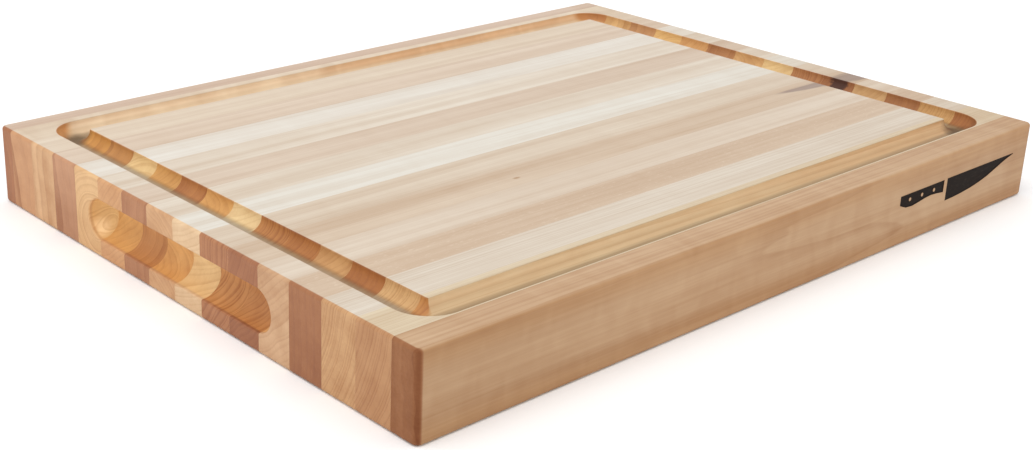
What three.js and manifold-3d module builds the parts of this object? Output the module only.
// Edge-grain butcher-block cutting board. Millimetres, +Z up.
//
// Full-length maple staves are glued side by side across the width of the board. The glued blank
// is trimmed square, its corners and edges are eased, a juice groove is routed round the top
// with a round-nose bit, and a finger grip is routed into each end. Nothing on it moves.
//
// Frame: the origin is under the middle of the board, on the surface that it lies on. X runs
// along the grain, from one finger grip to the other. Y runs across the staves, front to back.

import * as THREE from 'three';
import { mergeVertices } from 'three/addons/utils/BufferGeometryUtils.js';
import Module from 'manifold-3d';

// The board: 16 inches long and 1 1/2 inches thick. The staves add up to its width, 12 inches.
const BOARD_LENGTH = 406.4;
const BOARD_THICKNESS = 38.1;

// The staves. The outer two are narrower, because the glued blank is trimmed square.
const STAVE_WIDTH = 20;
const FRONT_STAVE_WIDTH = 14.2;
const BACK_STAVE_WIDTH = 10.6;
const GLUE_LINE = 0.1;

// The tone of each stave's wood, from the front of the board to the back.
const STAVE_TONES = [
  'brown', 'tan', 'tan', 'brown', 'tan', 'brown', 'tan', 'pale',
  'tan', 'pink', 'tan', 'pale', 'pink', 'tan', 'tan', 'pink',
];

// The upright corners are rounded, and the top and bottom edges are eased.
const CORNER_RADIUS = 3;
const EDGE_EASE = 1.6;

// The juice groove: a flat rim is left outside it, and it turns each corner about a point just
// inside the corner of the cutting surface, so that corner is nearly sharp.
const GROOVE_RIM = 15.2;
const GROOVE_WIDTH = 15.4;
const GROOVE_DEPTH = 6.35;
const GROOVE_INNER_CORNER = 0.8;

// The finger grips: a slot with round ends, as high as the round-nose bit that cuts it. Both
// sit a little behind the middle of the end, and a little under the middle of the thickness.
const GRIP_LENGTH = 137;
const GRIP_BIT_RADIUS = 9.5;
const GRIP_SET_BACK = 2.5;
const GRIP_DROP = 0.9;

// Every routed cut starts with a short straight wall, and its bit has a small flat at the tip.
const CUT_WALL = 0.4;
const BIT_TIP_HALF_WIDTH = 0.3;

// How finely round shapes are divided.
const CORNER_SEGMENTS = 5;
const EASE_SEGMENTS = 3;
const GRIP_END_SEGMENTS = 7;
const NOSE_SEGMENTS = 7;

// How far a cutting block stands past the board, so that it cuts cleanly through.
const OVERSHOOT = 5;
const SAME_POINT = 1e-6;

const LAST_STAVE = STAVE_TONES.length - 1;
const BOARD_WIDTH = FRONT_STAVE_WIDTH + STAVE_WIDTH * (LAST_STAVE - 1) + BACK_STAVE_WIDTH;

const wasm = await Module();
wasm.setup();

// A closed three.js geometry as a solid that can be cut.
function toSolid(geometry) {
  geometry.deleteAttribute('normal');
  geometry.deleteAttribute('uv');
  const merged = mergeVertices(geometry);
  return new wasm.Manifold(new wasm.Mesh({
    numProp: 3,
    vertProperties: merged.attributes.position.array,
    triVerts: Uint32Array.from(merged.index.array),
  }));
}

// A solid as a three.js geometry.
function toGeometry(solid) {
  const { numProp, vertProperties, triVerts } = solid.getMesh();
  const geometry = new THREE.BufferGeometry();
  geometry.setAttribute('position', new THREE.BufferAttribute(vertProperties, numProp));
  geometry.setIndex(new THREE.BufferAttribute(triVerts, 1));
  geometry.computeVertexNormals();
  return geometry;
}

// The outline of a rectangle with round corners, centred, anticlockwise. With a radius of half
// its height it is a slot with round ends.
function roundedOutline(length, height, radius, segments) {
  const corners = [[1, -1], [1, 1], [-1, 1], [-1, -1]];
  const points = [];
  corners.forEach(([sideX, sideY], corner) => {
    for (let step = 0; step <= segments; step += 1) {
      const angle = (Math.PI / 2) * (corner - 1 + step / segments);
      const x = sideX * (length / 2 - radius) + radius * Math.cos(angle);
      const y = sideY * (height / 2 - radius) + radius * Math.sin(angle);
      const point = new THREE.Vector2(x, y);
      const previous = points[points.length - 1];
      if (!previous || previous.distanceTo(point) > SAME_POINT) {
        points.push(point);
      }
    }
  });
  if (points[0].distanceTo(points[points.length - 1]) < SAME_POINT) {
    points.pop();
  }
  return points;
}

// What a round-nose bit takes out of a shape: the walls start straight and round in to the tip
// of the bit. The cut is centred on the face that it enters, so half of it is clear of the board.
function routedCut(shape, depth, halfWidth) {
  const noseWidth = halfWidth - BIT_TIP_HALF_WIDTH;
  const geometry = new THREE.ExtrudeGeometry(shape, {
    depth: 2 * CUT_WALL,
    bevelThickness: depth - CUT_WALL,
    bevelSize: noseWidth,
    bevelOffset: -noseWidth,
    bevelSegments: NOSE_SEGMENTS,
  });
  geometry.translate(0, 0, -CUT_WALL);
  return geometry;
}

// The glued and trimmed blank, with its corners rounded and its edges eased.
function blank() {
  const outline = roundedOutline(BOARD_LENGTH, BOARD_WIDTH, CORNER_RADIUS, CORNER_SEGMENTS);
  const geometry = new THREE.ExtrudeGeometry(new THREE.Shape(outline), {
    depth: BOARD_THICKNESS - 2 * EDGE_EASE,
    bevelThickness: EDGE_EASE,
    bevelSize: EDGE_EASE,
    bevelOffset: -EDGE_EASE,
    bevelSegments: EASE_SEGMENTS,
  });
  geometry.translate(0, 0, EDGE_EASE);
  return toSolid(geometry);
}

// The ring that the juice groove takes out of the top.
function grooveCut() {
  const outerLength = BOARD_LENGTH - 2 * GROOVE_RIM;
  const outerWidth = BOARD_WIDTH - 2 * GROOVE_RIM;
  const outerCorner = GROOVE_WIDTH + GROOVE_INNER_CORNER;
  const innerLength = outerLength - 2 * GROOVE_WIDTH;
  const innerWidth = outerWidth - 2 * GROOVE_WIDTH;
  const ring = new THREE.Shape(
    roundedOutline(outerLength, outerWidth, outerCorner, CORNER_SEGMENTS),
  );
  ring.holes.push(new THREE.Path(
    roundedOutline(innerLength, innerWidth, GROOVE_INNER_CORNER, CORNER_SEGMENTS),
  ));
  const geometry = routedCut(ring, GROOVE_DEPTH, GROOVE_WIDTH / 2);
  geometry.translate(0, 0, BOARD_THICKNESS);
  return toSolid(geometry);
}

// The slot that a finger grip takes out of one end. The slot's outline lies in the end face, so
// its own X, Y and Z become the board's Y, Z and X.
function gripCut(end) {
  const slot = roundedOutline(
    GRIP_LENGTH, 2 * GRIP_BIT_RADIUS, GRIP_BIT_RADIUS, GRIP_END_SEGMENTS,
  );
  const depth = GRIP_BIT_RADIUS + CUT_WALL;
  const geometry = routedCut(new THREE.Shape(slot), depth, GRIP_BIT_RADIUS);
  const ontoEndFace = new THREE.Matrix4().makeBasis(
    new THREE.Vector3(0, 1, 0),
    new THREE.Vector3(0, 0, 1),
    new THREE.Vector3(1, 0, 0),
  );
  geometry.applyMatrix4(ontoEndFace);
  geometry.translate(end * BOARD_LENGTH / 2, GRIP_SET_BACK, BOARD_THICKNESS / 2 - GRIP_DROP);
  return toSolid(geometry);
}

// The space between two glue lines, from the front limit to the back limit.
function staveSpace(front, back) {
  const geometry = new THREE.BoxGeometry(
    BOARD_LENGTH + 2 * OVERSHOOT,
    back - front,
    BOARD_THICKNESS + 2 * OVERSHOOT,
  );
  geometry.translate(0, (front + back) / 2, BOARD_THICKNESS / 2);
  return toSolid(geometry);
}

// Oiled maple in its four tones, each stave with its own.
function maple(tone) {
  const colours = { pale: 0xe3d6c2, tan: 0xd9c4ab, pink: 0xd4bda3, brown: 0xc7a88a };
  return new THREE.MeshStandardMaterial({ color: colours[tone], roughness: 0.6, metalness: 0 });
}

function staveName(index) {
  if (index === 0) {
    return 'front_edge_stave';
  }
  if (index === LAST_STAVE) {
    return 'back_edge_stave';
  }
  return `stave_${String(index + 1).padStart(2, '0')}`;
}

function staveWidth(index) {
  if (index === 0) {
    return FRONT_STAVE_WIDTH;
  }
  return index === LAST_STAVE ? BACK_STAVE_WIDTH : STAVE_WIDTH;
}

// Cuts the routed board apart at its glue lines, from front to back. Each glue line takes half
// of its thickness from the stave on either side of it.
function staves(board) {
  const group = new THREE.Group();
  let front = -BOARD_WIDTH / 2;
  STAVE_TONES.forEach((tone, index) => {
    const back = front + staveWidth(index);
    const space = staveSpace(
      index === 0 ? front - OVERSHOOT : front + GLUE_LINE / 2,
      index === LAST_STAVE ? back + OVERSHOOT : back - GLUE_LINE / 2,
    );
    const middle = (front + back) / 2;
    const geometry = toGeometry(board.intersect(space));
    geometry.translate(0, -middle, 0);
    const stave = new THREE.Mesh(geometry, maple(tone));
    stave.name = staveName(index);
    stave.position.y = middle;
    group.add(stave);
    front = back;
  });
  return group;
}

const routedBoard = blank()
  .subtract(grooveCut())
  .subtract(gripCut(-1))
  .subtract(gripCut(1));

export default staves(routedBoard);
